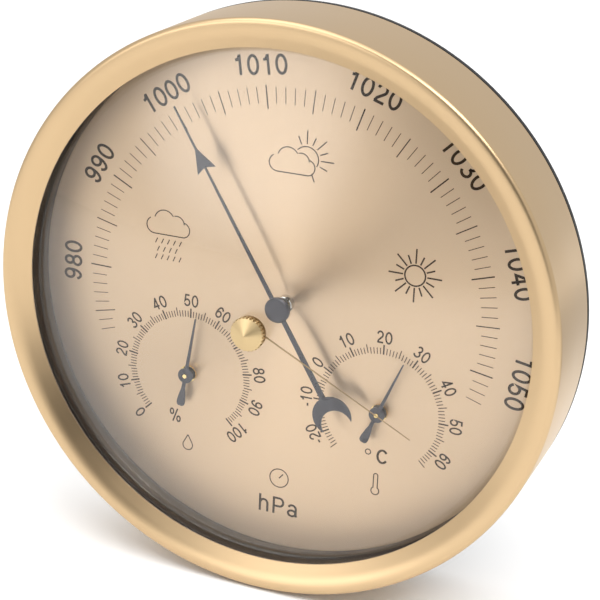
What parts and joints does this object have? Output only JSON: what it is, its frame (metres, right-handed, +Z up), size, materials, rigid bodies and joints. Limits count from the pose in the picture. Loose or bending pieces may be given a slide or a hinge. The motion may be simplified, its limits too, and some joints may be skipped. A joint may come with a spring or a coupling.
{
  "type": "analog weather station",
  "caption": "Round gold wall weather station: aneroid barometer with set hand, small hygrometer and thermometer behind one domed glass.",
  "frame": {"origin": "on the wall plane, at the point where the dial's axis meets the flat rear face of the cover", "axes": "hung upright: +Z up, +X to the reader's right, +Y from the reader towards the wall, so the dial faces -Y"},
  "size_m": [0.132, 0.0389, 0.132],
  "materials": {
    "case_gold": "satin brushed gold-coloured metal, lacquered",
    "dial_champagne": "fine circular brushed champagne with printed scales",
    "clear_glass": "clear, polished, domed",
    "brass_polished": "polished",
    "hand_gunmetal": "satin blue-grey",
    "cover_black": "matt moulded black",
    "ring_dark": "satin dark grey-brown",
    "gasket_rubber": "matt black",
    "steel_fine": "fine turned steel",
    "plate_nickel": "satin nickel plate",
    "coil_bimetal": "rolled strip, matt",
    "coil_blued": "rolled strip, matt grey"
  },
  "bodies": {
    "case": {"case_shell": "case_gold", "dial_plate": "dial_champagne", "front_glass": "clear_glass", "glass_bush": "brass_polished", "hygro_bush": "brass_polished", "thermo_bush": "brass_polished", "movement_pillar_1": "brass_polished", "movement_pillar_2": "brass_polished", "movement_pillar_3": "brass_polished", "dial_foot_1": "brass_polished", "dial_foot_2": "brass_polished", "dial_foot_3": "brass_polished", "rear_cover": "cover_black", "hygro_housing": "cover_black", "thermo_housing": "cover_black", "cover_post_1": "cover_black", "cover_post_2": "cover_black", "cover_post_3": "cover_black", "spacer_ring": "ring_dark", "glass_gasket": "gasket_rubber", "cover_screw_1": "steel_fine", "cover_screw_2": "steel_fine", "cover_screw_3": "steel_fine", "base_plate": "plate_nickel", "front_plate": "plate_nickel", "shaft_bracket_1": "plate_nickel", "shaft_bracket_2": "plate_nickel", "aneroid_capsule": "plate_nickel", "centre_bush": "plate_nickel"},
    "pressure": {"pressure_hand": "hand_gunmetal", "hand_collet": "brass_polished", "centre_arbor": "steel_fine", "centre_pinion": "brass_polished", "hairspring": "steel_fine"},
    "reference": {"set_knob": "brass_polished", "set_spindle": "brass_polished", "set_washer": "steel_fine", "set_hand": "brass_polished"},
    "sector": {"sector_gear": "brass_polished", "sector_arbor": "steel_fine"},
    "link": {"link_rod": "steel_fine"},
    "rocker": {"rocking_shaft": "steel_fine"},
    "stud": {"capsule_stud": "brass_polished"},
    "calibration": {"calibration_screw": "brass_polished"},
    "hygro_setting": {"hygro_adjuster": "brass_polished"},
    "hygro_reading": {"hygro_hand": "hand_gunmetal", "hygro_arbor": "brass_polished", "hygro_coil": "coil_bimetal"},
    "thermo_setting": {"thermo_adjuster": "brass_polished"},
    "thermo_reading": {"thermo_hand": "hand_gunmetal", "thermo_arbor": "brass_polished", "thermo_coil": "coil_blued"}
  },
  "joints": [
    {"name": "pressure_hand_turn", "type": "hinge", "parent": "case", "child": "pressure", "pos_m": [0, -0.0201, 0], "axis": [0, 1, 0], "range_deg": [-80, 144], "stiffness_Nm_per_rad": 0.002, "deforming": ["hairspring"]},
    {"name": "set_hand_turn", "type": "hinge", "parent": "case", "child": "reference", "pos_m": [0, -0.0353, 0], "axis": [0, 1, 0], "continuous": true},
    {"name": "sector_turn", "type": "hinge", "parent": "case", "child": "sector", "pos_m": [0.01767, -0.0106, -0.00824], "axis": [0, 1, 0], "range_deg": [-12.5, 7.2]},
    {"name": "link_turn", "type": "hinge", "parent": "sector", "child": "link", "pos_m": [0.02007, -0.01215, -0.00824], "axis": [0, 1, 0], "range_deg": [-7.2, 12.5]},
    {"name": "rocking_shaft_turn", "type": "hinge", "parent": "case", "child": "rocker", "pos_m": [0, -0.0092, 0.0065], "axis": [1, 0, 0], "range_deg": [-10.4, 6.2]},
    {"name": "capsule_stud_slide", "type": "slide", "parent": "case", "child": "stud", "axis": [0, 1, 0], "range_m": [-0.00025, 0.0004], "deforming": ["aneroid_capsule"]},
    {"name": "calibration_screw_turn", "type": "hinge", "parent": "case", "child": "calibration", "pos_m": [-0.017, -0.0015, 0.0085], "axis": [0, 1, 0], "range_deg": [-180, 180]},
    {"name": "hygro_adjuster_turn", "type": "hinge", "parent": "case", "child": "hygro_setting", "pos_m": [-0.0235, -0.0067, -0.0216], "axis": [0, 1, 0], "range_deg": [-20, 20]},
    {"name": "hygro_hand_turn", "type": "hinge", "parent": "hygro_setting", "child": "hygro_reading", "pos_m": [-0.0235, -0.0171, -0.0216], "axis": [0, 1, 0], "range_deg": [-147, 129], "stiffness_Nm_per_rad": 0.0001, "deforming": ["hygro_coil"]},
    {"name": "thermo_adjuster_turn", "type": "hinge", "parent": "case", "child": "thermo_setting", "pos_m": [0.0235, -0.0067, -0.0216], "axis": [0, 1, 0], "range_deg": [-20, 20]},
    {"name": "thermo_hand_turn", "type": "hinge", "parent": "thermo_setting", "child": "thermo_reading", "pos_m": [0.0235, -0.0171, -0.0216], "axis": [0, 1, 0], "range_deg": [-160, 115], "stiffness_Nm_per_rad": 0.0001, "deforming": ["thermo_coil"]}
  ],
  "couplings": [
    {"joint": "sector_turn", "follows": "pressure_hand_turn", "ratio": -0.083333},
    {"joint": "link_turn", "follows": "pressure_hand_turn", "ratio": 0.083333},
    {"joint": "rocking_shaft_turn", "follows": "pressure_hand_turn", "ratio": -0.067797},
    {"joint": "capsule_stud_slide", "follows": "pressure_hand_turn", "m_per_rad": 0.00013559}
  ]
}
